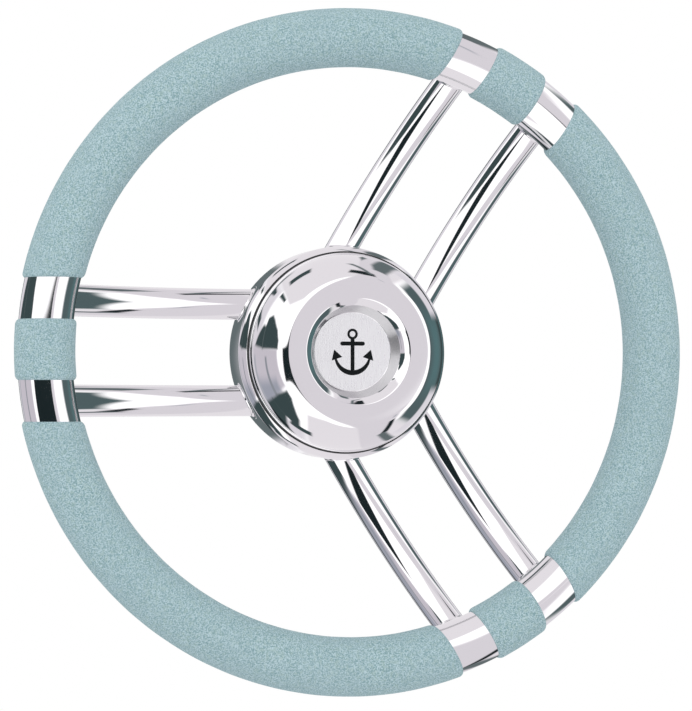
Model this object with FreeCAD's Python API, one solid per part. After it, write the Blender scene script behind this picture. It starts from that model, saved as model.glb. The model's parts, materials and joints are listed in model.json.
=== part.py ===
import FreeCAD, Part
import math
import os

# Boat steering wheel, in millimetres. The wheel turns about the Y axis and +Z is up.
# The origin is the middle of the taper bore's wide mouth, on the rear face of the boss,
# and the driver sits towards -Y. "Forward" below is a distance from that rear face
# towards the driver.

# The ring and its soft covering
wheel_diameter = 350.0
rim_section = 26.9
grip_wall = 1.55
grip_section = rim_section + 2 * grip_wall
grip_corner = 2.8
rim_wall = 1.5
rim_forward = 70.0

# The three pairs of spoke tubes
pair_count = 3
first_pair_angle = 60.0
pair_half_spacing = 25.1
spoke_section = 16.0
spoke_wall = 1.5
spoke_hub_forward = 25.7
spoke_bend_start = 48.0
spoke_seat_drop = 5.0
bare_length = 19.7

# The cap's skirt, and the rubber seal that grips it in the drum's mouth
cap_skirt_radius = 47.9
cap_skirt_length = 4.6
seal_sleeve = 1.2
seal_flange = 1.0
seal_flange_inset = 0.6

# The drum that the spokes are welded into. Its mouth takes the seal's sleeve.
mouth_radius = cap_skirt_radius + seal_sleeve
drum_lip_width = 2.9
drum_lip_radius = mouth_radius + drum_lip_width
drum_shoulder_width = 3.5
drum_diameter = 2 * (drum_lip_radius + drum_shoulder_width)
drum_wall = 3.0
drum_rear_forward = 16.0
drum_shoulder_forward = 37.0
drum_lip_forward = 44.5
drum_shoulder_arc = 9.0
drum_lip_depth = 5.0

# The plate that closes the drum behind, and the boss on the shaft
back_plate_thickness = 3.0
boss_neck_radius = 21.0
boss_rear_radius = 25.0
boss_front_forward = 34.0
boss_chamfer = 2.0
taper_mouth_diameter = 19.05
taper_ratio = 1.0 / 12.0
keyway_width = 4.76
keyway_depth = 2.4

# The domed cap: a bead over its skirt, a dome, a raised disc and a recess for the badge
cap_sheet = 1.2
cap_bead_overhang = 3.8
cap_bead_radius = cap_skirt_radius + cap_bead_overhang
cap_bead_height = 1.8
cap_bead_round = 0.7
cap_bead_ledge = 1.2
cap_dome_foot_radius = cap_bead_radius - cap_bead_ledge
cap_dome_top_radius = 38.2
cap_dome_arc = 24.0
cap_disc_step = 2.0
cap_disc_radius = cap_dome_top_radius - cap_disc_step
cap_disc_forward = 70.0
cap_disc_height = 1.8
cap_dome_top_forward = cap_disc_forward - cap_disc_height
cap_disc_round = 1.0
cap_ring_width = 9.0
cap_recess_mouth_radius = cap_disc_radius - cap_ring_width
cap_recess_round = 1.4
cap_recess_run = 6.8
cap_floor_radius = cap_recess_mouth_radius - cap_recess_run
cap_recess_depth = 12.8
cap_floor_forward = cap_disc_forward - cap_recess_depth

# The badge in the cap's recess, with an inlaid anchor
badge_clearance = 0.3
badge_thickness = 0.8
inlay_depth = 0.4
anchor_height = 24.0
anchor_bar = 2.1
anchor_eye_radius = 2.8
anchor_eye_hole = 1.5
anchor_stock_width = 11.0
anchor_stock_drop = 7.7
anchor_arm_radius = 9.6
anchor_arm_end = 0.7
anchor_crown = 2.6
fluke_tip_across = 9.8
fluke_tip_rise = 3.6
fluke_inner_across = 5.4
fluke_inner_drop = 0.2
fluke_outer_across = 11.1
fluke_outer_drop = 2.1

ORIGIN = FreeCAD.Vector(0, 0, 0)
WHEEL_AXIS = FreeCAD.Vector(0, 1, 0)
FULL_TURN = 360.0
SAME_PLACE = 0.01


def section_point(radius, forward):
    """A point of the half section: radius from the wheel's axis, distance forward."""
    return FreeCAD.Vector(radius, -forward, 0)


def lines(points):
    """Straight edges through the points, in order."""
    return [Part.LineSegment(a, b).toShape() for a, b in zip(points, points[1:])]


def bulged_arc(start, end, radius):
    """The arc of the given radius from start to end that bulges away from the wheel's axis."""
    chord = end - start
    outward = FreeCAD.Vector(-chord.y, chord.x, 0).normalize()
    if outward.x < 0:
        outward = outward * -1
    half = chord.Length / 2
    rise = radius - math.sqrt(radius ** 2 - half ** 2)
    middle = (start + end) * 0.5 + outward * rise
    return Part.Arc(start, middle, end).toShape()


def turned(edges):
    """Turn a closed section about the wheel's axis into a solid."""
    return Part.Face(Part.Wire(edges)).revolve(ORIGIN, WHEEL_AXIS, FULL_TURN)


def disc(radius, rear, front):
    """A plain round solid on the wheel's axis, between two distances forward."""
    return Part.makeCylinder(radius, front - rear, section_point(0, front), WHEEL_AXIS)


def at_angle(shape, angle):
    """A copy turned about the wheel's axis, anticlockwise as the driver sees it."""
    copy = shape.copy()
    copy.rotate(ORIGIN, WHEEL_AXIS * -1, angle)
    return copy


def only_solid(shape):
    """The single solid that a cut leaves, without its compound."""
    solids = shape.Solids
    if len(solids) != 1:
        raise ValueError("expected one solid, found %d" % len(solids))
    return solids[0]


def circle_edges(shape, radius, forward):
    """The round edges of a turned solid at one radius and one distance forward."""
    found = []
    for edge in shape.Edges:
        curve = edge.Curve
        if isinstance(curve, Part.Circle):
            same_radius = abs(curve.Radius - radius) < SAME_PLACE
            same_station = abs(curve.Center.y + forward) < SAME_PLACE
            if same_radius and same_station:
                found.append(edge)
    return found


ring_radius = (wheel_diameter - grip_section) / 2
drum_radius = drum_diameter / 2
drum_inner_radius = drum_radius - drum_wall
cap_foot_forward = drum_lip_forward + seal_flange
badge_forward = cap_floor_forward + badge_thickness


def ring_solid(section_diameter):
    """A full ring of round section on the rim's centre circle."""
    centre = section_point(0, rim_forward)
    return Part.makeTorus(ring_radius, section_diameter / 2, centre, WHEEL_AXIS)


def rim_tube():
    """The polished ring: one tube bent round and butt welded, closed all the way."""
    return only_solid(ring_solid(rim_section).cut(ring_solid(rim_section - 2 * rim_wall)))


def spoke_round(side, diameter):
    """A round bar at angle zero: straight out of the hub, then one arc up to the ring."""
    offset = side * pair_half_spacing
    seat_radius = math.sqrt(ring_radius ** 2 - pair_half_spacing ** 2)
    run = seat_radius - spoke_bend_start
    rise = rim_forward - spoke_seat_drop - spoke_hub_forward
    bend_radius = (run ** 2 + rise ** 2) / (2 * rise)
    bend_angle = math.degrees(2 * math.atan(rise / run))
    outward = FreeCAD.Vector(1, 0, 0)
    start = FreeCAD.Vector(spoke_bend_start, -spoke_hub_forward, offset)
    straight_length = drum_wall + spoke_section
    root = start - outward * straight_length
    straight = Part.makeCylinder(diameter / 2, straight_length, root, outward)
    circle = Part.Circle(start, outward, diameter / 2).toShape()
    bend_centre = start - FreeCAD.Vector(0, bend_radius, 0)
    bend_axis = FreeCAD.Vector(0, 0, -1)
    bend = Part.Face(Part.Wire(circle)).revolve(bend_centre, bend_axis, bend_angle)
    return only_solid(straight.fuse(bend))


def spoke_tube(side):
    """A bent tube, cut to the ring's round at one end and flush inside the drum at the other."""
    bore = spoke_round(side, spoke_section - 2 * spoke_wall)
    tube = spoke_round(side, spoke_section).cut(bore)
    tube = tube.cut(ring_solid(rim_section))
    inside_drum = disc(drum_inner_radius, 0, rim_forward)
    return only_solid(tube.cut(inside_drum))


def half_space(angle, offset, sign):
    """A large block beyond the plane that runs along a spoke pair at a side offset from it."""
    reach = 2 * wheel_diameter
    low = offset if sign > 0 else offset - reach
    corner = FreeCAD.Vector(-reach / 2, -reach / 2, low)
    return at_angle(Part.makeBox(reach, reach, reach, corner), angle)


def rounded_grip(blocks):
    """A length of covering between cutting planes, with soft corners, hollow for the ring."""
    body = ring_solid(grip_section)
    for block in blocks:
        body = body.common(block)
    body = only_solid(body)
    ends = [face for face in body.Faces if isinstance(face.Surface, Part.Plane)]
    corners = [edge for face in ends for edge in face.Edges]
    body = body.makeFillet(grip_corner, corners)
    return only_solid(body.cut(ring_solid(rim_section)))


def long_grip(angle, next_angle):
    """The covering between two spoke pairs. Its ends are cut along the pairs' direction."""
    edge = pair_half_spacing + bare_length / 2
    return rounded_grip([half_space(angle, edge, 1), half_space(next_angle, -edge, -1)])


def short_grip(angle):
    """The short covering between the two spokes of a pair."""
    edge = pair_half_spacing - bare_length / 2
    reach = wheel_diameter
    corner = FreeCAD.Vector(0, -reach / 2, -edge)
    block = Part.makeBox(reach, reach, 2 * edge, corner)
    return rounded_grip([at_angle(block, angle)])


def hub_drum(angles):
    """The turned drum: a plain wall, a rounded shoulder and a flat lip round its mouth."""
    shoulder = section_point(drum_radius, drum_shoulder_forward)
    lip = section_point(drum_lip_radius, drum_lip_forward)
    lip_rear = drum_lip_forward - drum_lip_depth
    edges = [bulged_arc(shoulder, lip, drum_shoulder_arc)]
    edges += lines([
        lip,
        section_point(mouth_radius, drum_lip_forward),
        section_point(mouth_radius, lip_rear),
        section_point(drum_inner_radius, drum_shoulder_forward - drum_wall),
        section_point(drum_inner_radius, drum_rear_forward),
        section_point(drum_radius, drum_rear_forward),
        shoulder,
    ])
    drum = turned(edges)
    for angle in angles:
        for side in (-1, 1):
            drum = drum.cut(at_angle(spoke_round(side, spoke_section), angle))
    return only_solid(drum)


def hub_back_plate():
    """The flat plate inside the drum's rear rim, bored for the boss."""
    front = drum_rear_forward + back_plate_thickness
    plate = disc(drum_inner_radius, drum_rear_forward, front)
    return plate.cut(disc(boss_neck_radius, drum_rear_forward, front))


def hub_boss():
    """The turned boss: a rear collar the plate seats on, a neck, a taper bore and a keyway."""
    boss = disc(boss_rear_radius, 0, drum_rear_forward)
    boss = boss.fuse(disc(boss_neck_radius, drum_rear_forward, boss_front_forward))
    boss = only_solid(boss.removeSplitter())
    outer_edges = circle_edges(boss, boss_rear_radius, 0)
    outer_edges += circle_edges(boss, boss_neck_radius, boss_front_forward)
    boss = boss.makeChamfer(boss_chamfer, outer_edges)
    mouth_radius_shaft = taper_mouth_diameter / 2
    front_radius = mouth_radius_shaft - boss_front_forward * taper_ratio / 2
    taper = Part.makeCone(
        front_radius, mouth_radius_shaft, boss_front_forward,
        section_point(0, boss_front_forward), WHEEL_AXIS,
    )
    key_corner = FreeCAD.Vector(-keyway_width / 2, -boss_front_forward, 0)
    keyway = Part.makeBox(
        keyway_width, boss_front_forward, mouth_radius_shaft + keyway_depth, key_corner,
    )
    return only_solid(boss.cut(taper.fuse(keyway)))


def cap_seal():
    """The rubber seal: a flat flange on the drum's lip and a sleeve round the cap's skirt."""
    flange_radius = drum_lip_radius - seal_flange_inset
    sleeve_rear = cap_foot_forward - cap_skirt_length
    return turned(lines([
        section_point(cap_skirt_radius, cap_foot_forward),
        section_point(flange_radius, cap_foot_forward),
        section_point(flange_radius, drum_lip_forward),
        section_point(mouth_radius, drum_lip_forward),
        section_point(mouth_radius, sleeve_rear),
        section_point(cap_skirt_radius, sleeve_rear),
        section_point(cap_skirt_radius, cap_foot_forward),
    ]))


def cap_face_edges():
    """Outside of the cap from the foot of the dome to the middle of the recess floor."""
    foot = section_point(cap_dome_foot_radius, cap_foot_forward + cap_bead_height)
    top = section_point(cap_dome_top_radius, cap_dome_top_forward)
    edges = [bulged_arc(foot, top, cap_dome_arc)]
    edges += lines([
        top,
        section_point(cap_disc_radius, cap_disc_forward),
        section_point(cap_recess_mouth_radius, cap_disc_forward),
        section_point(cap_floor_radius, cap_floor_forward),
        section_point(0, cap_floor_forward),
    ])
    return edges


def hub_cap():
    """The pressed cap: skirt, rolled bead, dome, raised disc and recess in one sheet."""
    face = cap_face_edges()
    bead_top = cap_foot_forward + cap_bead_height
    bead_inner = cap_skirt_radius - cap_sheet
    skirt_rear = cap_foot_forward - cap_skirt_length
    base = lines([
        section_point(0, skirt_rear),
        section_point(cap_skirt_radius, skirt_rear),
        section_point(cap_skirt_radius, cap_foot_forward),
        section_point(cap_bead_radius, cap_foot_forward),
        section_point(cap_bead_radius, bead_top),
        section_point(cap_dome_foot_radius, bead_top),
    ])
    axis_line = lines([section_point(0, cap_floor_forward), section_point(0, skirt_rear)])
    outside = turned(base + face + axis_line)
    rounds = (
        (cap_bead_round, cap_bead_radius, bead_top),
        (cap_disc_round, cap_dome_top_radius, cap_dome_top_forward),
        (cap_disc_round, cap_disc_radius, cap_disc_forward),
        (cap_recess_round, cap_recess_mouth_radius, cap_disc_forward),
    )
    for radius, edge_radius, edge_forward in rounds:
        outside = outside.makeFillet(radius, circle_edges(outside, edge_radius, edge_forward))
    hollow = cap_hollow(bead_inner, skirt_rear, bead_top)
    return only_solid(outside.cut(hollow))


def cap_hollow(bead_inner, skirt_rear, bead_top):
    """The space under the cap's sheet, one sheet thickness inside its outer face."""
    foot = section_point(cap_dome_foot_radius - cap_sheet, bead_top)
    top = section_point(cap_dome_top_radius - cap_sheet, cap_dome_top_forward - cap_sheet)
    dome = bulged_arc(foot, top, cap_dome_arc - cap_sheet)
    wall_run = cap_recess_mouth_radius - cap_floor_radius
    wall_rise = cap_disc_forward - cap_floor_forward
    wall_shift = cap_sheet * math.hypot(wall_run, wall_rise) / wall_rise
    under_disc = cap_disc_forward - cap_sheet
    under_floor = cap_floor_forward - cap_sheet
    slope = wall_run / wall_rise
    rest = lines([
        top,
        section_point(cap_disc_radius - cap_sheet, under_disc),
        section_point(cap_recess_mouth_radius + wall_shift - cap_sheet * slope, under_disc),
        section_point(cap_floor_radius + wall_shift - cap_sheet * slope, under_floor),
        section_point(0, under_floor),
        section_point(0, skirt_rear),
        section_point(bead_inner, skirt_rear),
        section_point(bead_inner, bead_top),
        foot,
    ])
    return turned([dome] + rest)


def anchor_outline(front, depth):
    """A plain anchor, as deep as the inlay, standing upright on the badge's face."""
    def bar(width, low, high):
        corner = FreeCAD.Vector(-width / 2, -front, low)
        return Part.makeBox(width, depth, high - low, corner)

    def round_bar(radius, height, across=0.0):
        centre = FreeCAD.Vector(across, -front, height)
        return Part.makeCylinder(radius, depth, centre, WHEEL_AXIS)

    def corner_point(across, height):
        return FreeCAD.Vector(across, -front, height)

    half_bar = anchor_bar / 2
    top = anchor_height / 2
    eye_height = top - anchor_eye_radius
    stock_height = top - anchor_stock_drop
    arm_height = anchor_arm_radius - top
    eye = round_bar(anchor_eye_radius, eye_height).cut(round_bar(anchor_eye_hole, eye_height))
    shank = bar(anchor_bar, half_bar - top, eye_height - anchor_eye_hole)
    stock = bar(anchor_stock_width, stock_height - half_bar, stock_height + half_bar)
    for side in (-1, 1):
        stock = stock.fuse(round_bar(half_bar, stock_height, side * anchor_stock_width / 2))
    hollow = round_bar(anchor_arm_radius - anchor_arm_end, arm_height + anchor_crown - anchor_arm_end)
    arms = round_bar(anchor_arm_radius, arm_height).cut(hollow)
    arms = arms.cut(bar(anchor_height, arm_height, top))
    anchor = eye.fuse([shank, stock, arms])
    for side in (-1, 1):
        tip = corner_point(side * fluke_tip_across, arm_height + fluke_tip_rise)
        inner = corner_point(side * fluke_inner_across, arm_height - fluke_inner_drop)
        outer = corner_point(side * fluke_outer_across, arm_height - fluke_outer_drop)
        fluke = Part.Face(Part.Wire(lines([tip, inner, outer, tip])))
        anchor = anchor.fuse(fluke.extrude(WHEEL_AXIS * depth))
    return only_solid(anchor.removeSplitter())


def badge_inlay():
    """The dark filling of the anchor, level with the badge's face."""
    return anchor_outline(badge_forward, inlay_depth)


def badge_disc():
    """A thin disc on the recess floor, pocketed for the anchor."""
    blank = disc(cap_floor_radius - badge_clearance, cap_floor_forward, badge_forward)
    return only_solid(blank.cut(badge_inlay()))


def build():
    """Every sub-part of the wheel by its name."""
    angles = [first_pair_angle + k * FULL_TURN / pair_count for k in range(pair_count)]
    pair_names = ("right_upper", "left", "right_lower")
    gap_names = ("upper", "lower", "right")
    nodes = {"rim_tube": rim_tube()}
    for k, angle in enumerate(angles):
        following = angles[(k + 1) % pair_count]
        nodes["spoke_%s_a" % pair_names[k]] = at_angle(spoke_tube(-1), angle)
        nodes["spoke_%s_b" % pair_names[k]] = at_angle(spoke_tube(1), angle)
        nodes["short_grip_%s" % pair_names[k]] = short_grip(angle)
        nodes["long_grip_%s" % gap_names[k]] = long_grip(angle, following)
    nodes["hub_drum"] = hub_drum(angles)
    nodes["hub_back_plate"] = hub_back_plate()
    nodes["hub_boss"] = hub_boss()
    nodes["cap_seal"] = cap_seal()
    nodes["hub_cap"] = hub_cap()
    nodes["badge_disc"] = badge_disc()
    nodes["badge_inlay"] = badge_inlay()
    return nodes


os.makedirs("parts", exist_ok=True)
for name, shape in build().items():
    shape.exportStep("parts/%s.step" % name)
    print(name, "solids", len(shape.Solids), "valid", shape.isValid(), "volume", round(shape.Volume))
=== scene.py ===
# %% [markdown]
# # A boat's steering wheel
# The real wheel is a steel ring, six bent spoke tubes in three pairs, a turned drum and a
# pressed cap, with a soft covering moulded round the ring. Everything here is made in the
# fixed frame of the engineering model: metres, +Z up, the driver towards -Y, and the
# origin at the wide mouth of the shaft's bore. "Forward" is a distance towards the driver.

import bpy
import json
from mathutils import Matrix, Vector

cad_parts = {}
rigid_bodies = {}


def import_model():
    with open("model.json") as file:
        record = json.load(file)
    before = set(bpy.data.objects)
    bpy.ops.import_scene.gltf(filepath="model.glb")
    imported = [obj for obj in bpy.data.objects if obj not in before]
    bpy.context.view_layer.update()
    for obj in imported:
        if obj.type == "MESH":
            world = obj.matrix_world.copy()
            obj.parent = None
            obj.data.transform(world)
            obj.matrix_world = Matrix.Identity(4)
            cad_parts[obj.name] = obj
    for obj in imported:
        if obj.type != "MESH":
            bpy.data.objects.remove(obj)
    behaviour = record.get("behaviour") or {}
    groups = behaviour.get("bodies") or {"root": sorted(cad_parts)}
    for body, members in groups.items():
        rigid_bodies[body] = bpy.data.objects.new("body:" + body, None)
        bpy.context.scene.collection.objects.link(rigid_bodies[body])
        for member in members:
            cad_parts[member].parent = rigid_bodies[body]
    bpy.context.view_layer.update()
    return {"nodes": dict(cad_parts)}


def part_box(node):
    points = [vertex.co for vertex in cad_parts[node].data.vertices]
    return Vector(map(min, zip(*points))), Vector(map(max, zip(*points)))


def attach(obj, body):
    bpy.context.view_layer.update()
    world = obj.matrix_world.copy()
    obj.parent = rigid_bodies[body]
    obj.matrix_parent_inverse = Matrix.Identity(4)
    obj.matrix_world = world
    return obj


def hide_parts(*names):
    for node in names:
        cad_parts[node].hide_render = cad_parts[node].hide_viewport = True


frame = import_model()
print("nodes in the frame:", len(frame["nodes"]))

# %% [markdown]
# ## The tools used
# Blender's own modelling tools could draw these parts, but each one is a plain surface with
# a formula, so numpy works out its points in one go and Blender only receives the mesh.
# Lengths are written as millimetres times MM. Nothing on the wheel moves by itself, so every
# piece rides on the one body of the frame.

# %% Modules
import json
import math

import bmesh
import bpy
import numpy as np
from mathutils import Vector

MM = 0.001
FULL_TURN = 2 * math.pi
BODY = "root"
print("Blender", bpy.app.version_string)

# %% [markdown]
# ## Sizes
# The wheel is 350 mm across, and the photographed proportions give the rest. The same sizes
# shape the engineering model, so the new surfaces lie where its solids do. Only the seal's
# flange and the cap's face differ a little, as their cells say.

# %% Driving sizes
wheel_radius = 175 * MM
grip_tube_radius = 15 * MM
ring_tube_radius = 13.45 * MM
ring_wall = 1.5 * MM
ring_radius = wheel_radius - grip_tube_radius
rim_forward = 70 * MM
pair_angles = {"right_upper": 60, "left": 180, "right_lower": 300}
pair_half_spacing = 25.1 * MM
spoke_radius = 8 * MM
spoke_wall = 1.5 * MM
bare_length = 19.7 * MM
drum_radius = 55.5 * MM
drum_wall = 3 * MM

ring_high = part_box("rim_tube")[1]
print("ring reach by the sizes and by the frame:", ring_radius + ring_tube_radius, ring_high.x)

# %% [markdown]
# ## From grid to mesh
# Every surface below is a grid of points: one direction runs along the piece and the other
# round it. Four neighbouring points make a face. Joining the last row to the first closes
# the skin, and where a row shrinks to one point on the axis its doubles are merged.
# The enclosed volume tells whether the faces look outwards, so they are turned if it is
# negative.

# %% Mesh helpers
MERGE_DISTANCE = 0.0005 * MM


def on_wheel(radius, angle, forward):
    """Points about the wheel's axis: x is the radius times the angle's cosine, z is the radius
    times its sine, and y is minus the distance forward."""
    parts = np.broadcast_arrays(radius * np.cos(angle), -forward, radius * np.sin(angle))
    return np.stack(parts, axis=-1)


def enclosed_volume(points, quads):
    """The volume inside a closed skin: a sixth of the sum, over its triangles, of the first
    corner dotted with the cross product of the other two."""
    a, b, c, d = (points[quads[:, k]] for k in range(4))
    first = np.einsum("ij,ij->i", a, np.cross(b, c))
    second = np.einsum("ij,ij->i", a, np.cross(c, d))
    return (first.sum() + second.sum()) / 6


def grid_quads(rows, columns, join_rows):
    """Corner numbers of the faces between neighbouring rows and columns. The columns always
    close on themselves, and the rows do where join_rows is true."""
    index = np.arange(rows * columns).reshape(rows, columns)
    if join_rows:
        index = np.vstack([index, index[:1]])
    index = np.hstack([index, index[:, :1]])
    corners = [index[:-1, :-1], index[1:, :-1], index[1:, 1:], index[:-1, 1:]]
    return np.stack(corners, axis=-1).reshape(-1, 4)


def skin_object(name, grids):
    """One smooth mesh object from closed grids, each given as (points, join_rows, inward)."""
    vertices, faces, count = [], [], 0
    for points, join_rows, inward in grids:
        flat = points.reshape(-1, 3)
        quads = grid_quads(points.shape[0], points.shape[1], join_rows)
        if (enclosed_volume(flat, quads) < 0) != inward:
            quads = quads[:, ::-1]
        vertices.append(flat)
        faces.append(quads + count)
        count += len(flat)
    mesh = bpy.data.meshes.new(name)
    mesh.from_pydata(np.concatenate(vertices).tolist(), [], np.concatenate(faces).tolist())
    work = bmesh.new()
    work.from_mesh(mesh)
    bmesh.ops.remove_doubles(work, verts=work.verts, dist=MERGE_DISTANCE)
    work.to_mesh(mesh)
    work.free()
    mesh.polygons.foreach_set("use_smooth", np.ones(len(mesh.polygons), dtype=bool))
    piece = bpy.data.objects.new(name, mesh)
    bpy.context.scene.collection.objects.link(piece)
    print(name, "faces", len(mesh.polygons))
    return piece


def install(piece, material, slot_name, *nodes):
    """Give a piece its finish and its place in the frame, standing for the named solids."""
    piece.data.materials.append(material)
    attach(piece, BODY)
    if nodes:
        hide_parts(*nodes)


# %% [markdown]
# ## The camera
# The photograph was taken with a long lens from a little to the driver's left and slightly
# below the hub. The angles and the distance come from fitting the ellipses of the ring, the
# drum and the cap. The hub isn't in the middle of the picture, so the lens is shifted a
# little, as a view camera does it, instead of turning the camera away.

# %% Camera
PHOTO_HEIGHT = 711
SENSOR = 36.0
camera_azimuth = math.radians(-15.61)
camera_elevation = math.radians(-1.19)
camera_distance = 1.2
focal_pixels = 2358.5
hub_right_of_middle = 12.84
hub_above_middle = 4.03

rim_centre = Vector((0, -rim_forward, 0))
towards_camera = Vector((
    math.sin(camera_azimuth) * math.cos(camera_elevation),
    -math.cos(camera_azimuth) * math.cos(camera_elevation),
    math.sin(camera_elevation),
))
camera_data = bpy.data.cameras.new("photo_camera")
camera_data.sensor_width = SENSOR
camera_data.lens = focal_pixels * SENSOR / PHOTO_HEIGHT
camera_data.shift_x = -hub_right_of_middle / PHOTO_HEIGHT
camera_data.shift_y = -hub_above_middle / PHOTO_HEIGHT
camera = bpy.data.objects.new("photo_camera", camera_data)
camera.location = rim_centre + camera_distance * towards_camera
camera.rotation_euler = (-towards_camera).to_track_quat("-Z", "Y").to_euler()
bpy.context.scene.collection.objects.link(camera)
bpy.context.scene.camera = camera
camera_right = Vector((math.cos(camera_azimuth), math.sin(camera_azimuth), 0))
camera_up = towards_camera.cross(camera_right)
print("lens", round(camera_data.lens, 2), "camera at", tuple(round(v, 3) for v in camera.location))

# %% [markdown]
# ## Building shader nodes
# A finish is a small graph of shader nodes. These helpers add one node and wire its inputs,
# so that each finish below reads as a short list of steps.

# %% Shader helpers


def feed(tree, socket, value):
    """Wire a socket to another node's output, or write a plain value on it."""
    if isinstance(value, bpy.types.NodeSocket):
        tree.links.new(value, socket)
    else:
        socket.default_value = value


def maths(tree, operation, first, second=0.0, clamp=False):
    """The output of one Math node."""
    node = tree.nodes.new("ShaderNodeMath")
    node.operation = operation
    node.use_clamp = clamp
    feed(tree, node.inputs[0], first)
    feed(tree, node.inputs[1], second)
    return node.outputs[0]


def dot(tree, vector, direction):
    """How far a vector points along a fixed direction."""
    node = tree.nodes.new("ShaderNodeVectorMath")
    node.operation = "DOT_PRODUCT"
    feed(tree, node.inputs[0], vector)
    node.inputs[1].default_value = direction
    return node.outputs["Value"]


def ramp_between(tree, value, start, end, low=0.0, high=1.0):
    """A soft step: low up to start, then a smooth rise to high at end."""
    node = tree.nodes.new("ShaderNodeMapRange")
    node.interpolation_type = "SMOOTHSTEP"
    feed(tree, node.inputs["Value"], value)
    limits = {"From Min": start, "From Max": end, "To Min": low, "To Max": high}
    for socket, number in limits.items():
        node.inputs[socket].default_value = number
    return node.outputs["Result"]


def blend_colours(tree, share, first, second):
    """Mix two colours by a share from 0 to 1."""
    node = tree.nodes.new("ShaderNodeMix")
    node.data_type = "RGBA"
    feed(tree, node.inputs["Factor"], share)
    feed(tree, node.inputs["A"], first)
    feed(tree, node.inputs["B"], second)
    return node.outputs["Result"]


def noise(tree, vector, scale, detail=2.0):
    """Cloudy noise between 0 and 1, so many cells to the metre."""
    node = tree.nodes.new("ShaderNodeTexNoise")
    feed(tree, node.inputs["Vector"], vector)
    node.inputs["Scale"].default_value = scale
    node.inputs["Detail"].default_value = detail
    return node.outputs["Fac"]


def bumped(tree, height, strength, depth):
    """A Bump node: how far the height moves the surface, without moving the mesh."""
    node = tree.nodes.new("ShaderNodeBump")
    node.inputs["Strength"].default_value = strength
    node.inputs["Distance"].default_value = depth
    feed(tree, node.inputs["Height"], height)
    return node.outputs["Normal"]


def new_finish(name, **values):
    """A material, its tree, its shader and the object's own coordinates. Plain values are
    written on the shader's sockets, with an underscore for each space in the socket's name."""
    material = bpy.data.materials.new(name)
    material.use_nodes = True
    tree = material.node_tree
    shader = tree.nodes["Principled BSDF"]
    for socket, value in values.items():
        shader.inputs[socket.replace("_", " ")].default_value = value
    place = tree.nodes.new("ShaderNodeTexCoord").outputs["Object"]
    return material, tree, shader, place


# %% [markdown]
# ## Polished steel
# The ring, the spokes, the drum and the cap are stainless steel, polished like a mirror.
# A mirror has hardly any colour of its own, so the finish is full metal with a pale, faintly
# pink grey and a low roughness. Polishing leaves two traces: the roughness drifts from place
# to place, and the surface waves very slightly, which bends the long reflections a little.

# %% Polished steel
MIRROR = (0.90, 0.885, 0.905, 1)


def polished_steel(name, wave_strength):
    """Mirror steel with drifting roughness and a faint wave of the given strength."""
    material, tree, shader, place = new_finish(name, Metallic=1.0, Base_Color=MIRROR)
    haze = ramp_between(tree, noise(tree, place, 45, 4.0), 0.3, 0.75, 0.03, 0.075)
    feed(tree, shader.inputs["Roughness"], haze)
    wave = noise(tree, place, 22, 1.0)
    feed(tree, shader.inputs["Normal"], bumped(tree, wave, wave_strength, 1 * MM))
    return material


steel_tube = polished_steel("polished_tube", wave_strength=0.12)
steel_hub = polished_steel("polished_hub", wave_strength=0.05)
print("finishes so far:", steel_tube.name, steel_hub.name)

# %% [markdown]
# ## Soft covering
# The covering is moulded foam with a fine leathery grain, pale sea green, and it hardly
# shines. Three noises of different grain are laid over each other: one for the tiny light and
# dark specks of the skin, one that turns some of them a little greener, and one for a slow
# drift of tone. The specks also dent the surface.

# %% Soft covering
DARK_SPECK = (0.195, 0.330, 0.360, 1)
LIGHT_SPECK = (0.505, 0.655, 0.705, 1)
GREEN_SPECK = (0.37, 0.50, 0.44, 1)
SLOW_TONE = (0.345, 0.470, 0.520, 1)


def soft_covering():
    """Matt moulded foam skin with a fine speckled grain."""
    material, tree, shader, place = new_finish("soft_grip", Roughness=0.78, Specular_IOR_Level=0.35)
    grain = noise(tree, place, 1500, 3.0)
    drift = noise(tree, place, 38, 2.0)
    tint = noise(tree, place, 620, 2.0)
    speck = ramp_between(tree, grain, 0.33, 0.67)
    tone = blend_colours(tree, speck, DARK_SPECK, LIGHT_SPECK)
    warm = ramp_between(tree, tint, 0.45, 0.7, 0.0, 0.35)
    tone = blend_colours(tree, warm, tone, GREEN_SPECK)
    cloud = ramp_between(tree, drift, 0.3, 0.7, 0.0, 0.22)
    tone = blend_colours(tree, cloud, tone, SLOW_TONE)
    feed(tree, shader.inputs["Base Color"], tone)
    feed(tree, shader.inputs["Normal"], bumped(tree, grain, 0.35, 0.25 * MM))
    return material


grip_skin = soft_covering()
print("finish:", grip_skin.name)

# %% [markdown]
# ## Rubber, turned steel, badge and enamel
# The seal is black rubber with a dusty grain. The boss and the back plate come straight from
# the lathe, so their roughness and bump follow rings round the shaft, worked out from the
# distance to the wheel's axis. The badge is satin steel, rubbed up and down, and its anchor
# is filled with black enamel.

# %% Smaller finishes
RUBBER = (0.018, 0.02, 0.021, 1)
LATHE_STEEL = (0.62, 0.62, 0.63, 1)
BADGE_STEEL = (0.97, 0.97, 0.99, 1)
ENAMEL = (0.004, 0.006, 0.007, 1)


def black_rubber():
    """Dark rubber with a dusty, uneven sheen."""
    material, tree, shader, place = new_finish("black_rubber", Base_Color=RUBBER)
    dust = noise(tree, place, 900, 3.0)
    feed(tree, shader.inputs["Roughness"], ramp_between(tree, dust, 0.3, 0.7, 0.5, 0.72))
    feed(tree, shader.inputs["Normal"], bumped(tree, dust, 0.2, 0.1 * MM))
    return material


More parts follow.
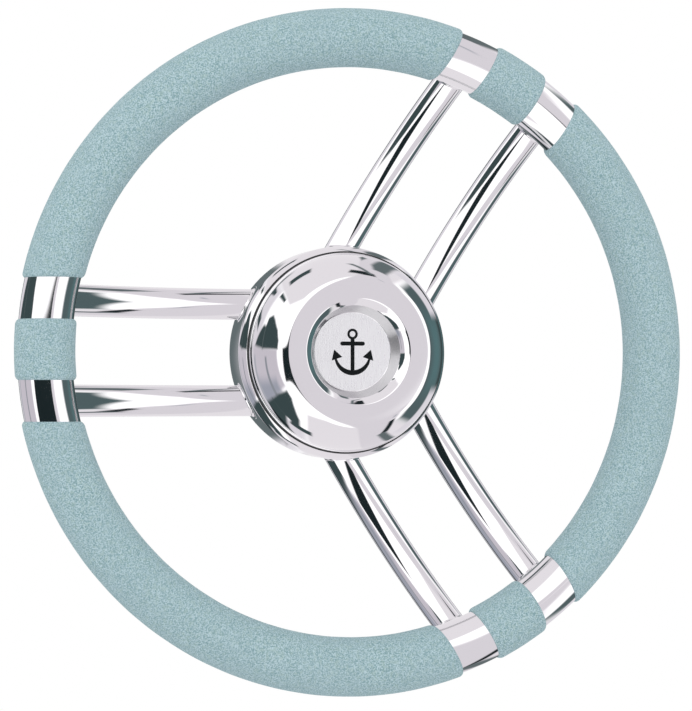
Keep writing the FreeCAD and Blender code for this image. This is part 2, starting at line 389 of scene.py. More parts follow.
def turned_steel():
    """Steel with fine rings round the wheel's axis: noise along the distance from the axis."""
    material, tree, shader, place = new_finish(
        "turned_steel", Metallic=1.0, Base_Color=LATHE_STEEL,
    )
    split = tree.nodes.new("ShaderNodeSeparateXYZ")
    feed(tree, split.inputs[0], place)
    across = maths(tree, "MULTIPLY", split.outputs["X"], split.outputs["X"])
    upwards = maths(tree, "MULTIPLY", split.outputs["Z"], split.outputs["Z"])
    distance = maths(tree, "SQRT", maths(tree, "ADD", across, upwards))
    ring = tree.nodes.new("ShaderNodeCombineXYZ")
    feed(tree, ring.inputs["X"], distance)
    feed(tree, ring.inputs["Y"], split.outputs["Y"])
    marks = noise(tree, ring.outputs[0], 2600, 2.0)
    feed(tree, shader.inputs["Roughness"], ramp_between(tree, marks, 0.3, 0.7, 0.24, 0.4))
    feed(tree, shader.inputs["Normal"], bumped(tree, marks, 0.25, 0.05 * MM))
    return material


def satin_badge():
    """Pale satin steel, rubbed upwards: noise stretched along Z."""
    material, tree, shader, place = new_finish(
        "satin_badge", Metallic=1.0, Base_Color=BADGE_STEEL,
    )
    stretch = tree.nodes.new("ShaderNodeMapping")
    stretch.inputs["Scale"].default_value = (1.0, 1.0, 0.06)
    feed(tree, stretch.inputs["Vector"], place)
    rubbed = noise(tree, stretch.outputs[0], 2400, 2.0)
    feed(tree, shader.inputs["Roughness"], ramp_between(tree, rubbed, 0.3, 0.7, 0.26, 0.36))
    feed(tree, shader.inputs["Normal"], bumped(tree, rubbed, 0.1, 0.03 * MM))
    return material


def black_enamel():
    """Glossy black filling with a few dull specks."""
    material, tree, shader, place = new_finish(
        "black_enamel", Base_Color=ENAMEL, Specular_IOR_Level=0.12,
    )
    specks = noise(tree, place, 1600, 2.0)
    feed(tree, shader.inputs["Roughness"], ramp_between(tree, specks, 0.35, 0.7, 0.22, 0.42))
    return material


rubber = black_rubber()
lathe_steel = turned_steel()
badge_steel = satin_badge()
enamel = black_enamel()
print("smaller finishes:", rubber.name, lathe_steel.name, badge_steel.name, enamel.name)

# %% [markdown]
# ## The ring
# The ring is one tube bent into a circle and butt welded. Its surface is a torus: a small
# circle, carried round a large one. The wall's inner face is made too, so that the mesh is a
# hollow tube as the real ring is.

# %% Ring tube
RING_OUTSIDE_GRID = (480, 96)
RING_BORE_GRID = (240, 32)


def torus(section_radius, around, section):
    """A torus: the distance from the axis is the ring's radius plus the section's radius times
    the cosine of the section angle, and the distance forward varies with its sine."""
    angle = np.linspace(0, FULL_TURN, around, endpoint=False)[:, None]
    turn = np.linspace(0, FULL_TURN, section, endpoint=False)[None, :]
    radius = ring_radius + section_radius * np.cos(turn)
    return on_wheel(radius, angle, rim_forward + section_radius * np.sin(turn))


ring_outside = torus(ring_tube_radius, *RING_OUTSIDE_GRID)
ring_inside = torus(ring_tube_radius - ring_wall, *RING_BORE_GRID)
ring_metal = skin_object("ring_metal", [(ring_outside, True, False), (ring_inside, True, True)])
install(ring_metal, steel_tube, "polished_tube", "rim_tube")

# %% [markdown]
# ## The covering's lengths
# Six lengths of foam sit on the ring: three long ones between the spoke pairs, and a short
# one between the two spokes of each pair. Their ends are cut parallel to the spokes, not
# square to the ring, and the corners are well rounded. A length could be a torus with
# Boolean cuts, but then the corners need a bevel on a curved edge. Here the end is part of
# the grid: for each point round the section, the end angle follows from how far that point
# lies from the wheel's axis, and the corner is a quarter circle in the same grid. The skin
# waves by a few hundredths of a millimetre, because moulded foam is never quite true. Each
# wave has a count round the wheel, a count round the section, and a start.

# %% Covering
GRIP_CORNER = 2.8 * MM
LONG_ROWS = 250
SHORT_ROWS = 60
CORNER_ROWS = 12
BACK_THINNING = 4
GRIP_ROUND = 96
SKIN_WAVE = 0.05 * MM
SKIN_WAVES = ((31, 3, 0.4), (47, 5, 2.1), (73, 8, 4.0), (19, 11, 5.2))


def end_angle(pair_angle, offset, radius):
    """Angle at which a point at this distance from the axis meets the plane that runs along a
    spoke pair at the given side offset: the pair's angle plus the arcsine of offset / radius."""
    return pair_angle + np.arcsin(offset / radius)


def covering_length(start, end, rows):
    """A length of covering between two (pair angle, offset) planes. Row by row: the corner at
    the start, the outside, the corner at the end, and back along the ring's surface, where
    nothing shows and fewer rows do."""
    turn = np.linspace(0, FULL_TURN, GRIP_ROUND, endpoint=False)[None, :]
    lowest = math.asin((ring_tube_radius - grip_tube_radius + GRIP_CORNER) / GRIP_CORNER)
    corner = np.linspace(lowest, math.pi / 2, CORNER_ROWS)
    corner_height = grip_tube_radius - GRIP_CORNER + GRIP_CORNER * np.sin(corner)
    corner_inset = GRIP_CORNER * (1 - np.cos(corner))
    share = np.linspace(0, 1, rows)[1:-1]
    back = np.linspace(1, 0, rows // BACK_THINNING)[1:-1]
    height = np.concatenate([
        corner_height, np.full(share.size, grip_tube_radius), corner_height[::-1],
        np.full(back.size, ring_tube_radius),
    ])
    inset_start = np.concatenate([
        corner_inset, np.full(share.size + corner.size, GRIP_CORNER),
        np.full(back.size, corner_inset[0]),
    ])
    inset_end = np.concatenate([
        np.full(corner.size + share.size, GRIP_CORNER), corner_inset[::-1],
        np.full(back.size, corner_inset[0]),
    ])
    mixed = np.concatenate([np.zeros(corner.size), share, np.ones(corner.size), back])
    radius = ring_radius + height[:, None] * np.cos(turn)
    first = end_angle(start[0], start[1] + inset_start[:, None], radius)
    last = end_angle(end[0], end[1] - inset_end[:, None], radius)
    angle = first + (last - first) * mixed[:, None]
    wave = sum(np.sin(a * angle + b * turn + c) for a, b, c in SKIN_WAVES) / len(SKIN_WAVES)
    outside = np.clip((height - ring_tube_radius) / (grip_tube_radius - ring_tube_radius), 0, 1)
    shape = height[:, None] - SKIN_WAVE * (1 + wave) * outside[:, None]
    return on_wheel(ring_radius + shape * np.cos(turn), angle, rim_forward + shape * np.sin(turn))


half_bare = bare_length / 2
for name, degrees in pair_angles.items():
    pair = math.radians(degrees)
    edge = pair_half_spacing - half_bare
    grid = covering_length((pair, -edge), (pair, edge), SHORT_ROWS)
    grip = skin_object("grip_short_" + name, [(grid, True, False)])
    install(grip, grip_skin, "soft_grip", "short_grip_" + name)

long_names = ("upper", "lower", "right")
pair_turns = [math.radians(degrees) for degrees in pair_angles.values()]
for name, pair, following in zip(long_names, pair_turns, pair_turns[1:] + pair_turns[:1]):
    if following < pair:
        following += FULL_TURN
    edge = pair_half_spacing + half_bare
    grid = covering_length((pair, edge), (following, -edge), LONG_ROWS)
    grip = skin_object("grip_long_" + name, [(grid, True, False)])
    install(grip, grip_skin, "soft_grip", "long_grip_" + name)

# %% [markdown]
# ## The spokes
# Each spoke is a tube that leaves the drum square to the wheel's axis and then bends forward
# in one long arc to meet the ring from behind. A circle is carried along that centre line.
# Its outer end is coped, so it is cut to the round of the ring, and its inner end is cut
# flush with the drum's bore. For every line along the tube, halving an interval again and
# again finds where the line meets the ring or the drum, for all lines at once.

# %% Spoke centre line
SPOKE_ROUND = 72
HALVINGS = 40
spoke_hub_forward = 25.7 * MM
spoke_bend_start = 48 * MM
spoke_seat_drop = 5 * MM

seat_radius = math.sqrt(ring_radius ** 2 - pair_half_spacing ** 2)
bend_run = seat_radius - spoke_bend_start
bend_rise = rim_forward - spoke_seat_drop - spoke_hub_forward
bend_radius = (bend_run ** 2 + bend_rise ** 2) / (2 * bend_rise)
bend_length = bend_radius * 2 * math.atan(bend_rise / bend_run)
section_turn = np.linspace(0, FULL_TURN, SPOKE_ROUND, endpoint=False)
print("spoke bend radius", round(bend_radius / MM, 1), "mm, arc", round(bend_length / MM, 1), "mm")


def spoke_point(along, tube_radius, turn, side):
    """Outwards, forward and sideways places on a spoke's tube. Before the bend the centre line
    is straight. In the bend it moves outwards by the bend radius times the sine of the angle
    turned so far, and forward by the radius times one minus the cosine."""
    bent = np.maximum(along, 0) / bend_radius
    outwards = spoke_bend_start + np.minimum(along, 0) + bend_radius * np.sin(bent)
    forward = spoke_hub_forward + bend_radius * (1 - np.cos(bent))
    outwards = outwards - tube_radius * np.cos(turn) * np.sin(bent)
    forward = forward + tube_radius * np.cos(turn) * np.cos(bent)
    sideways = side * pair_half_spacing + tube_radius * np.sin(turn) + 0 * along
    return outwards, forward, sideways


def outside_ring(outwards, forward, sideways, section_radius):
    """Distance outside the ring's tube: from the ring's centre circle, less its section."""
    reach = np.hypot(outwards, sideways) - ring_radius
    return np.hypot(reach, forward - rim_forward) - section_radius


def outside_hub(outwards, forward, sideways, hub_radius):
    """Distance outside a drum of the given radius, the same at any distance forward."""
    return np.hypot(outwards, sideways) - hub_radius


def meeting(distance, target_radius, tube_radius, low, high, side):
    """Where each line along the tube crosses a surface, by halving: the distance to it has one
    sign at low and the other at high, and the half that keeps the change of sign stays."""
    low = np.full(SPOKE_ROUND, low)
    high = np.full(SPOKE_ROUND, high)
    sign = np.sign(distance(*spoke_point(low, tube_radius, section_turn, side), target_radius))
    for _ in range(HALVINGS):
        middle = (low + high) / 2
        place = spoke_point(middle, tube_radius, section_turn, side)
        same = np.sign(distance(*place, target_radius)) == sign
        low = np.where(same, middle, low)
        high = np.where(same, high, middle)
    return (low + high) / 2


def placed(outwards, forward, sideways, pair):
    """Turn a spoke's own places to its pair's angle about the wheel's axis."""
    radius = np.hypot(outwards, sideways)
    return on_wheel(radius, np.arctan2(sideways, outwards) + pair, forward)


# %% [markdown]
# A spoke's rows run out along the outer face and back along the bore, so its wall has its
# true thickness. The welds are small concave fillets: their section starts on the tube,
# swings down in a curve and ends on the ring or the drum, and a fourth row closes it inside.

# %% Spokes and welds
SPOKE_ROWS = 110
SPOKE_BORE_ROWS = 40
WELD_ROWS = 9
WELD_LEG = 1.5 * MM
WELD_SINK = 0.3 * MM
drum_search = dict(low=-20 * MM, high=30 * MM)
ring_side = dict(distance=outside_ring, target_radius=ring_tube_radius, low=0.0, high=bend_length)
drum_side = dict(distance=outside_hub, target_radius=drum_radius, **drum_search)
drum_bore = dict(drum_side, target_radius=drum_radius - drum_wall)


def spoke_grid(side, pair):
    """Rows of the outer face from the drum's bore to the ring, then of the bore back again."""
    rows = []
    faces = ((spoke_radius, SPOKE_ROWS), (spoke_radius - spoke_wall, SPOKE_BORE_ROWS))
    for tube_radius, count in faces:
        start = meeting(tube_radius=tube_radius, side=side, **drum_bore)
        stop = meeting(tube_radius=tube_radius, side=side, **ring_side)
        share = np.linspace(0, 1, count)[:, None]
        if rows:
            share = share[::-1]
        along = start + (stop - start) * share
        rows.append(placed(*spoke_point(along, tube_radius, section_turn, side), pair))
    return np.concatenate(rows)


def weld_grid(side, pair, joint, outwards):
    """A fillet round a joint. Its rows blend three points of each line: one on the tube, a leg
    away from the joint, the joint itself, and one on the joined surface a leg out. A curve
    through the first and last with the joint as its guide makes the hollow."""
    at_joint = meeting(tube_radius=spoke_radius, side=side, **joint)
    leg_out = meeting(tube_radius=spoke_radius + WELD_LEG, side=side, **joint)
    step = WELD_LEG if outwards else -WELD_LEG
    top = np.stack(spoke_point(at_joint + step, spoke_radius, section_turn, side))
    guide = np.stack(spoke_point(at_joint, spoke_radius, section_turn, side))
    foot = np.stack(spoke_point(leg_out, spoke_radius + WELD_LEG, section_turn, side))
    sunk_along = at_joint - np.sign(step) * WELD_SINK
    sunk = spoke_point(sunk_along, spoke_radius - WELD_SINK, section_turn, side)
    rows = []
    for share in np.linspace(0, 1, WELD_ROWS):
        curve = (1 - share) ** 2 * top + 2 * share * (1 - share) * guide + share ** 2 * foot
        rows.append(placed(*curve, pair))
    rows.append(placed(*sunk, pair))
    return np.stack(rows)


for name, degrees in pair_angles.items():
    pair = math.radians(degrees)
    for letter, side in (("a", -1), ("b", 1)):
        spoke = skin_object("tube_%s_%s" % (name, letter), [(spoke_grid(side, pair), True, False)])
        install(spoke, steel_tube, "polished_tube", "spoke_%s_%s" % (name, letter))
        welds = [
            (weld_grid(side, pair, ring_side, False), True, False),
            (weld_grid(side, pair, drum_side, True), True, False),
        ]
        bead = skin_object("welds_%s_%s" % (name, letter), welds)
        install(bead, steel_tube, "polished_tube")

# %% [markdown]
# ## Turned profiles
# The drum, the seal and the cap are round about the wheel's axis, so each is a half section
# carried once round it. A half section is a chain of straight runs and arcs. Where two of
# them meet, the real edge is slightly round, and a mirror shows that round as a bright or
# dark line, so each meeting gets its own small radius. A straight run has a point close to
# each of its ends, which keeps the smooth shading flat along the run.

# %% Profile helpers
HUB_ROUND = 288
RUN_END = 0.04 * MM


def run(*points):
    """Straight runs through (radius, forward) points given in millimetres."""
    corners = np.array(points, dtype=float) * MM
    pieces = []
    for a, b in zip(corners[:-1], corners[1:]):
        share = min(RUN_END / np.linalg.norm(b - a), 0.25)
        pieces.append(np.stack([a, a + (b - a) * share, b + (a - b) * share, b]))
    return pieces


def bulge(start, end, radius, steps=48):
    """The arc from start to end, in millimetres, that swells away from the wheel's axis. Its
    centre lies on the chord's perpendicular, where both ends are one radius away."""
    a, b = np.array(start, dtype=float) * MM, np.array(end, dtype=float) * MM
    half = np.linalg.norm(b - a) / 2
    outward = np.array([-(b - a)[1], (b - a)[0]]) / (2 * half)
    if outward[0] < 0:
        outward = -outward
    centre = (a + b) / 2 - outward * math.sqrt((radius * MM) ** 2 - half ** 2)
    first, last = (math.atan2(*(p - centre)[::-1]) for p in (a, b))
    angle = np.linspace(first, last, steps)
    return [centre + radius * MM * np.stack([np.cos(angle), np.sin(angle)], axis=-1)]


def trimmed(chain, length):
    """A chain of points without its last stretch of the given length."""
    steps = np.linalg.norm(np.diff(chain, axis=0), axis=1)
    place = np.concatenate([[0], np.cumsum(steps)])
    target = place[-1] - length
    kept = chain[place < target - RUN_END / 4]
    end = [np.interp(target, place, chain[:, k]) for k in range(2)]
    return np.vstack([kept, end])


def rounded(pieces, radii, steps=13):
    """Join pieces end to end, each meeting rounded to its radius in millimetres. A round is a
    cubic curve that leaves along one piece and arrives along the next. Its handles are
    four thirds of the radius times the tangent of a quarter of the turn."""
    chain = pieces[0]
    for piece, radius in zip(pieces[1:], radii):
        before = chain[-1] - chain[-2]
        after = piece[1] - piece[0]
        before = before / np.linalg.norm(before)
        after = after / np.linalg.norm(after)
        turn = math.acos(np.clip(before @ after, -1, 1))
        setback = radius * MM * math.tan(turn / 2)
        if setback < RUN_END / 10:
            chain = np.vstack([chain, piece[1:]])
            continue
        chain = trimmed(chain, setback)
        piece = trimmed(piece[::-1], setback)[::-1]
        handle = 4 / 3 * math.tan(turn / 4) * radius * MM
        share = np.linspace(0, 1, steps)[1:-1, None]
        curve = (1 - share) ** 3 * chain[-1]
        curve = curve + 3 * share * (1 - share) ** 2 * (chain[-1] + before * handle)
        curve = curve + 3 * share ** 2 * (1 - share) * (piece[0] - after * handle)
        curve = curve + share ** 3 * piece[0]
        chain = np.vstack([chain, curve, piece])
    return chain


def turned(profile):
    """Carry a half section once round the wheel's axis."""
    angle = np.linspace(0, FULL_TURN, HUB_ROUND, endpoint=False)[None, :]
    return on_wheel(profile[:, :1], angle, profile[:, 1:])


# %% [markdown]
# ## The drum
# The drum is turned from thick tube. Outside it has a plain wall and a rounded shoulder, and
# its mouth is a flat lip with a short bore for the seal. The section starts in the middle
# of the bore, so that every edge lies inside the chain and gets its round. The radii and
# distances forward of the drum, the seal and the cap are in millimetres, as the profile
# helpers take them, and the rounds are listed in the order of the chain's meetings.

# %% Drum
DRUM_OUTSIDE, DRUM_INSIDE = drum_radius / MM, (drum_radius - drum_wall) / MM
DRUM_REAR, DRUM_MIDDLE, SHOULDER, LIP = 16, 25, 37, 44.5
MOUTH_RADIUS, LIP_RADIUS, SHOULDER_ARC = 49.1, 52, 9
MOUTH_END, FUNNEL_END = 39.5, 34
drum_pieces = run(
    (DRUM_INSIDE, DRUM_MIDDLE), (DRUM_INSIDE, DRUM_REAR), (DRUM_OUTSIDE, DRUM_REAR),
    (DRUM_OUTSIDE, SHOULDER),
)
drum_pieces += bulge((DRUM_OUTSIDE, SHOULDER), (LIP_RADIUS, LIP), SHOULDER_ARC)
drum_pieces += run(
    (LIP_RADIUS, LIP), (MOUTH_RADIUS, LIP), (MOUTH_RADIUS, MOUTH_END),
    (DRUM_INSIDE, FUNNEL_END), (DRUM_INSIDE, DRUM_MIDDLE),
)
drum_rounds = (0.3, 0.6, 1.0, 0.5, 0.3, 0.3, 0.3)
drum_section = rounded(drum_pieces, drum_rounds)[:-1]
drum = skin_object("drum_turned", [(turned(drum_section), True, False)])
install(drum, steel_hub, "polished_hub", "hub_drum")

# %% [markdown]
# ## The seal
# A rubber ring grips the cap in the drum's mouth: a sleeve inside the mouth and a flange
# that shows as a thin dark line between the drum's lip and the cap. For that line's sake the
# flange is 1.2 mm wider here than in the engineering model.

# %% Seal
FLANGE_RADIUS, FLANGE_START = 52.6, 50
SKIRT_RADIUS, SKIRT_END, CAP_FOOT = 47.9, 40.9, 45.5
seal_pieces = run(
    (FLANGE_START, LIP), (FLANGE_RADIUS, LIP), (FLANGE_RADIUS, CAP_FOOT),
    (SKIRT_RADIUS, CAP_FOOT), (SKIRT_RADIUS, SKIRT_END), (MOUTH_RADIUS, SKIRT_END),
    (MOUTH_RADIUS, LIP), (FLANGE_START, LIP),
)
seal_section = rounded(seal_pieces, (0.25, 0.25, 0.1, 0.2, 0.2, 0.05))[:-1]
seal = skin_object("seal_ring", [(turned(seal_section), True, False)])
install(seal, rubber, "black_rubber", "cap_seal")

# %% [markdown]
# ## The cap
# The cap is pressed from one sheet: a skirt that pushes into the seal, a rolled bead, a
# dome, a flat disc and a deep recess for the badge. The outer face is drawn from the middle
# of the recess outwards, and the inner face runs back a sheet's thickness below. The dome
# turns into the disc over a wide round, where a mirror squeezes in half the studio. The
# recess has two slopes: a bright chamfer at its mouth, and a steep wall down to the floor.
# The engineering model has a small step in place of that round, and one slope.

# %% Cap
SHEET, DOME_ARC, DOME_STEPS = 1.2, 26.86, 96
RECESS, DISC, BEAD_TOP, BEAD_RADIUS = 57.2, 70.0, 47.3, 51.7
recess_corner, slope_change, recess_mouth = (20.4, RECESS), (23.9, 67.0), (27.2, DISC)
dome_top, dome_foot = (38.0, DISC), (50.5, BEAD_TOP)
under_recess_corner, under_slope_change = (21.25, RECESS - SHEET), (24.93, 66.31)
under_mouth, under_dome_top = (27.66, DISC - SHEET), (37.65, DISC - SHEET)
under_dome_foot = (dome_foot[0] - SHEET, BEAD_TOP)

cap_pieces = run((0, RECESS), recess_corner, slope_change, recess_mouth, dome_top)
cap_pieces += bulge(dome_top, dome_foot, DOME_ARC, DOME_STEPS)
cap_pieces += run(
    dome_foot, (BEAD_RADIUS, BEAD_TOP), (BEAD_RADIUS, CAP_FOOT), (SKIRT_RADIUS, CAP_FOOT),
    (SKIRT_RADIUS, SKIRT_END), (SKIRT_RADIUS - SHEET, SKIRT_END),
    (SKIRT_RADIUS - SHEET, BEAD_TOP), under_dome_foot,
)
cap_pieces += bulge(under_dome_foot, under_dome_top, DOME_ARC - SHEET)
cap_pieces += run(
    under_dome_top, under_mouth, under_slope_change, under_recess_corner, (0, RECESS - SHEET),
)
face_rounds = (0.6, 7.0, 1.2, 4.5)
bead_rounds = (0.3, 0.7, 0.5, 0.3)
skirt_rounds = (0.3, 0.3, 0.2, 0.2)
under_rounds = (3.3, 0.3, 5.8, 1.0)
cap_section = rounded(cap_pieces, face_rounds + bead_rounds + skirt_rounds + under_rounds)
cap = skin_object("cap_pressed", [(turned(cap_section), False, False)])
install(cap, steel_hub, "polished_hub", "hub_cap")

# %% [markdown]
# ## Engineering parts that stay
# The boss, the back plate, the badge and its anchor have the right shape already, so they
# are kept and only get their finish.

# %% Finishes on kept parts
kept_finishes = {
    "hub_boss": lathe_steel, "hub_back_plate": lathe_steel,
    "badge_disc": badge_steel, "badge_inlay": enamel,
}
for node_name, material in kept_finishes.items():
    slots = frame["nodes"][node_name].material_slots
    for slot in slots:
        slot.material = material
    print(node_name, "slots", len(slots))

# %% [markdown]
# ## Floor
# A pale floor lies well below the wheel and takes its shadow. Towards its edge it turns into
# the plain white of the background, so no horizon shows.

# %% Floor
FLOOR_HEIGHT = -0.45
FLOOR_RADIUS = 1.6
FLOOR_RINGS, FLOOR_ROUND = 24, 96
WHITE_FROM, WHITE_BY = 0.5, FLOOR_RADIUS * 0.98

floor_radius = np.linspace(0, FLOOR_RADIUS, FLOOR_RINGS)[:, None]
floor_angle = np.linspace(0, FULL_TURN, FLOOR_ROUND, endpoint=False)[None, :]
floor_points = on_wheel(floor_radius, floor_angle, 0 * floor_radius)
floor_points = floor_points[..., [0, 2, 1]] + np.array([0, 0, FLOOR_HEIGHT])
floor = skin_object("studio_floor", [(floor_points, False, False)])
floor_finish, tree, shader, place = new_finish("studio_floor", Roughness=0.9)
shader.inputs["Base Color"].default_value = (0.86, 0.86, 0.87, 1)
white = tree.nodes.new("ShaderNodeEmission")
length = tree.nodes.new("ShaderNodeVectorMath")
length.operation = "LENGTH"
feed(tree, length.inputs[0], place)
edge_share = ramp_between(tree, length.outputs["Value"], WHITE_FROM, WHITE_BY)
mix = tree.nodes.new("ShaderNodeMixShader")
feed(tree, mix.inputs["Fac"], edge_share)
feed(tree, mix.inputs[1], shader.outputs[0])
feed(tree, mix.inputs[2], white.outputs[0])
tree.links.new(mix.outputs[0], tree.nodes["Material Output"].inputs["Surface"])
floor.data.materials.append(floor_finish)

# %% [markdown]
# ## Light
# Matt parts want soft, even light: a white world and one large lamp do that. Polished steel
# shows its surroundings instead, so the studio has to be there to be mirrored: a pale tent
# with brighter sheets, dark gaps between them and the dim room beyond. The world paints them
# by direction, and only glossy rays see them.
#
# A direction is measured from the line that runs from the hub to the camera. "Away" is how
# many degrees it turns from that line. On the "round" chart a place is the turn to the right
# and the lean up from the horizontal, so a straight edge that runs past the wheel stays
# straight. Near the camera that chart is pinched together, so the "facing" chart is used
# there: degrees across and degrees up, as on a target.
#
# Every sheet is a convex polygon on one of the charts. A place lies inside when it lies on
# the inner side of every edge, so the smallest of its distances to the edges tells how deep
# inside it is, and a soft step over that number gives the sheet a soft edge.

# %% Studio sheets
TENT = (0.84, 0.815, 0.84, 1)
SIDE_TENT = (0.74, 0.715, 0.75, 1)
WHITE = (1.25, 1.25, 1.25, 1)
SHADED_WHITE = (0.76, 0.74, 0.78, 1)
PANEL = (0.60, 0.57, 0.62, 1)
PANEL_SHADE = (0.36, 0.38, 0.44, 1)
SEAM = (0.42, 0.44, 0.48, 1)
FOLD = (0.28, 0.30, 0.33, 1)
ROOM = (0.085, 0.125, 0.13, 1)
ROOM_LAMP = (0.095, 0.18, 0.187, 1)
DIM = (0.13, 0.16, 0.165, 1)
GAP = (0.045, 0.07, 0.072, 1)
BLACK = (0.012, 0.02, 0.022, 1)

# chart, softness in degrees, colour and corners, each sheet laid over those before it
SHEETS = (
    # the wall behind the camera, and the white wall on the left
    ("facing", 2.0, WHITE, (-200, -62), (25, -62), (25, 50), (-200, 50)),
    ("round", 1.5, WHITE, (-180, -67), (-40, -67), (-40, 47), (-180, 47)),
    ("round", 6.0, SHADED_WHITE, (-180, -67), (-112, -67), (-112, 47), (-180, 47)),
    ("round", 1.5, GAP, (-121, -70), (-108, -70), (-108, -53), (-121, -53)),
    ("round", 1.5, GAP, (-121, 53), (-108, 53), (-108, 70), (-121, 70)),
    # the tent's side, and the dark opening beside the lens
    ("facing", 2.0, SIDE_TENT, (26, -200), (62, -200), (62, 200), (26, 200)),
    ("facing", 1.2, BLACK, (-44, -27), (27, -4), (27, 5), (-44, 5)),
    ("facing", 1.0, SIDE_TENT, (27, -30), (40, -30), (40, 30), (27, 30)),
    # the grey panel on the left, and the dark gaps round it
    ("round", 2.5, PANEL, (-141, -34), (-58, -34), (-58, 4), (-141, 4)),
    ("round", 6.0, PANEL_SHADE, (-136, -36), (-72, -36), (-72, -23), (-136, -17)),
    ("round", 1.5, FOLD, (-94, -34), (-87, -34), (-87, -3), (-92, -3)),
    ("round", 2.5, SEAM, (-139, -34), (-129, -34), (-129, -2), (-137, -2)),
    ("round", 1.5, GAP,
     (-100, 3), (-56, 4), (-56, 13), (-64, 22), (-80, 28), (-90, 30), (-100, 26)),
    ("round", 1.8, GAP, (-139, 5), (-99, 3), (-99, 26), (-108, 20), (-139, 21)),
    ("round", 2.0, GAP, (-157, 23), (-130, 14), (-130, 22), (-157, 30)),
    ("round", 1.0, GAP, (-157, 37), (-128, 39), (-128, 42), (-157, 43)),
    ("round", 1.2, GAP, (-107, 42), (-84, 43), (-84, 46), (-107, 46)),
    ("round", 1.8, GAP,
     (-110, -61), (-92, -60), (-76, -54), (-62, -47), (-60, -38), (-84, -34), (-110, -33)),
    ("round", 2.0, GAP, (-138, -52), (-108, -49), (-108, -33), (-136, -32)),
    ("round", 1.8, BLACK, (-165, -58), (-136, -52), (-133, -32), (-150, -45)),
    # the white wall on the right, with the seams and dark edges above and below it
    ("round", 2.5, WHITE, (34, 0), (60, 30), (97, 48), (180, 48), (180, -48), (95, -46), (60, -30)),
    ("round", 1.2, SEAM, (33, 10), (60, 43), (90, 62), (90, 65), (60, 46), (33, 14)),
    ("round", 1.2, BLACK, (82, 57), (92, 62), (92, 79), (84, 79)),
    ("round", 1.2, DIM, (88, 61), (112, 81), (112, 85), (88, 65)),
    ("round", 1.5, DIM, (110, 80), (150, 76), (175, 86), (150, 81), (112, 85)),
    ("round", 1.2, SEAM, (33, -6), (60, -31), (90, -45), (90, -48), (60, -35), (33, -10)),
    ("round", 1.2, BLACK, (88, -44), (112, -57), (112, -63), (88, -49)),
    ("round", 1.5, DIM, (110, -58), (170, -60), (170, -66), (110, -64)),
    # the dim room on the right, with a paler patch, and what lies behind the wheel
    ("round", 4.0, ROOM, (72, 0), (101, 44), (180, 48), (180, -47), (98, -45)),
    ("round", 14.0, ROOM_LAMP, (108, -22), (142, -22), (142, 22), (108, 22)),
    ("round", 4.0, GAP, (150, -50), (180, -50), (180, 48), (150, 48)),
    ("round", 2.0, DIM, (106, 57), (180, 57), (180, 69), (122, 70), (106, 66)),
    ("round", 4.0, SHADED_WHITE, (130, 22), (180, 22), (180, 56), (130, 56)),
    ("round", 4.0, SHADED_WHITE, (130, -22), (180, -22), (180, -56), (130, -56)),
    ("round", 5.0, DIM, (-180, -54), (-150, -54), (-150, 54), (-180, 54)),
)
print("studio sheets:", len(SHEETS))

# %% [markdown]
# The world's nodes work out a ray's place on both charts, and each sheet is blended over
# those before it. The camera sees plain white instead, and matt surfaces a white daylight.

# %% World
DAYLIGHT = (0.95, 0.95, 0.95, 1)
PLAIN_WHITE = (1, 1, 1, 1)

world = bpy.data.worlds.new("studio")
bpy.context.scene.world = world
world.use_nodes = True
tree = world.node_tree
tree.nodes.clear()


def chart(across, upwards):
    """A place on a chart as the vector (across, upwards, 1)."""
    node = tree.nodes.new("ShaderNodeCombineXYZ")
    feed(tree, node.inputs["X"], across)
    feed(tree, node.inputs["Y"], upwards)
    node.inputs["Z"].default_value = 1.0
    return node.outputs[0]


def inside_sheet(place, softness, corners):
    """1 inside a convex polygon and 0 outside. The distance inside an edge is the dot product
    of the place (u, v, 1) with the edge's inward normal and its offset."""
    corners = np.array(corners, dtype=float)
    following = np.roll(corners, -1, axis=0)
    turning = np.sum(corners[:, 0] * following[:, 1] - corners[:, 1] * following[:, 0])
    nearest = None
    for start, end in zip(corners, following):
        along = (end - start) / np.linalg.norm(end - start)
        inward = np.array([-along[1], along[0]]) * np.sign(turning)
        distance = dot(tree, place, (inward[0], inward[1], -inward @ start))
        nearest = distance if nearest is None else maths(tree, "MINIMUM", nearest, distance)
    return ramp_between(tree, nearest, -softness, softness)


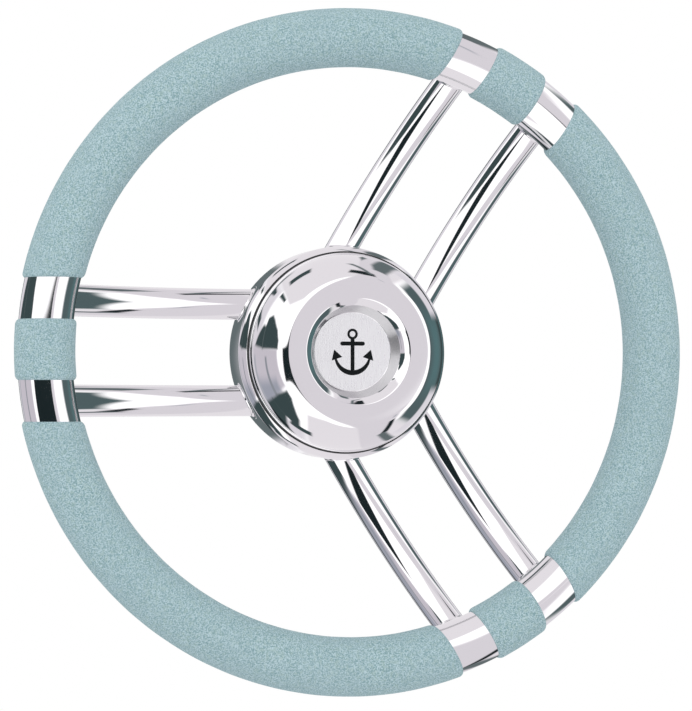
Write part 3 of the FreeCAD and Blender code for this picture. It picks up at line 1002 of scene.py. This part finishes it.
direction = tree.nodes.new("ShaderNodeTexCoord").outputs["Generated"]
to_right = dot(tree, direction, camera_right)
upwards = dot(tree, direction, camera_up)
forwards = dot(tree, direction, towards_camera)
away = maths(tree, "DEGREES", maths(tree, "ARCCOSINE", forwards))
swing = maths(tree, "MULTIPLY", away, maths(tree, "SIGN", to_right))
lean = maths(tree, "ARCTAN2", upwards, maths(tree, "ABSOLUTE", to_right))
charts = {
    "round": chart(swing, maths(tree, "DEGREES", lean)),
    "facing": chart(
        maths(tree, "MULTIPLY", swing, maths(tree, "COSINE", lean)),
        maths(tree, "MULTIPLY", away, maths(tree, "SINE", lean)),
    ),
}
reflected = TENT
for chart_name, softness, colour, *corners in SHEETS:
    share = inside_sheet(charts[chart_name], softness, corners)
    reflected = blend_colours(tree, share, reflected, colour)

rays = tree.nodes.new("ShaderNodeLightPath")
seen = blend_colours(tree, rays.outputs["Is Glossy Ray"], DAYLIGHT, reflected)
seen = blend_colours(tree, rays.outputs["Is Camera Ray"], seen, PLAIN_WHITE)
background = tree.nodes.new("ShaderNodeBackground")
feed(tree, background.inputs["Color"], seen)
output = tree.nodes.new("ShaderNodeOutputWorld")
tree.links.new(background.outputs[0], output.inputs["Surface"])
print("world nodes:", len(tree.nodes))

# %% [markdown]
# In the photograph the polished parts show the studio and hardly anything of each other. So
# the mirrors are shown the studio alone. Only the boss and the back plate stay in glossy
# rays, because the inside of the bore has to look as closed in as it is.

# %% Mirrors see the studio only
seen_in_mirrors = {frame["nodes"][node_name] for node_name in ("hub_boss", "hub_back_plate")}
for piece in bpy.context.scene.objects:
    piece.visible_glossy = piece in seen_in_mirrors
print("left in glossy rays:", sorted(piece.name for piece in seen_in_mirrors))

# %% [markdown]
# One large round lamp, high up on the driver's left, shades the covering softly. Mirrors
# don't show it.

# %% Lamp
LAMP_ACROSS = 1.4
LAMP_WATTS = 5.0
LAMP_PLACE = (-0.9, -1.7, 1.1)

lamp_data = bpy.data.lights.new("soft_lamp", "AREA")
lamp_data.shape = "DISK"
lamp_data.size = LAMP_ACROSS
lamp_data.energy = LAMP_WATTS
lamp = bpy.data.objects.new("soft_lamp", lamp_data)
lamp.location = LAMP_PLACE
lamp.rotation_euler = (lamp.location - rim_centre).to_track_quat("Z", "Y").to_euler()
lamp.visible_glossy = False
bpy.context.scene.collection.objects.link(lamp)
print("lamp energy", lamp_data.energy)

# %% [markdown]
# ## Last step
# Colours are shown as they are, without a film look.

# %% Finish
bpy.context.scene.view_settings.view_transform = "Standard"
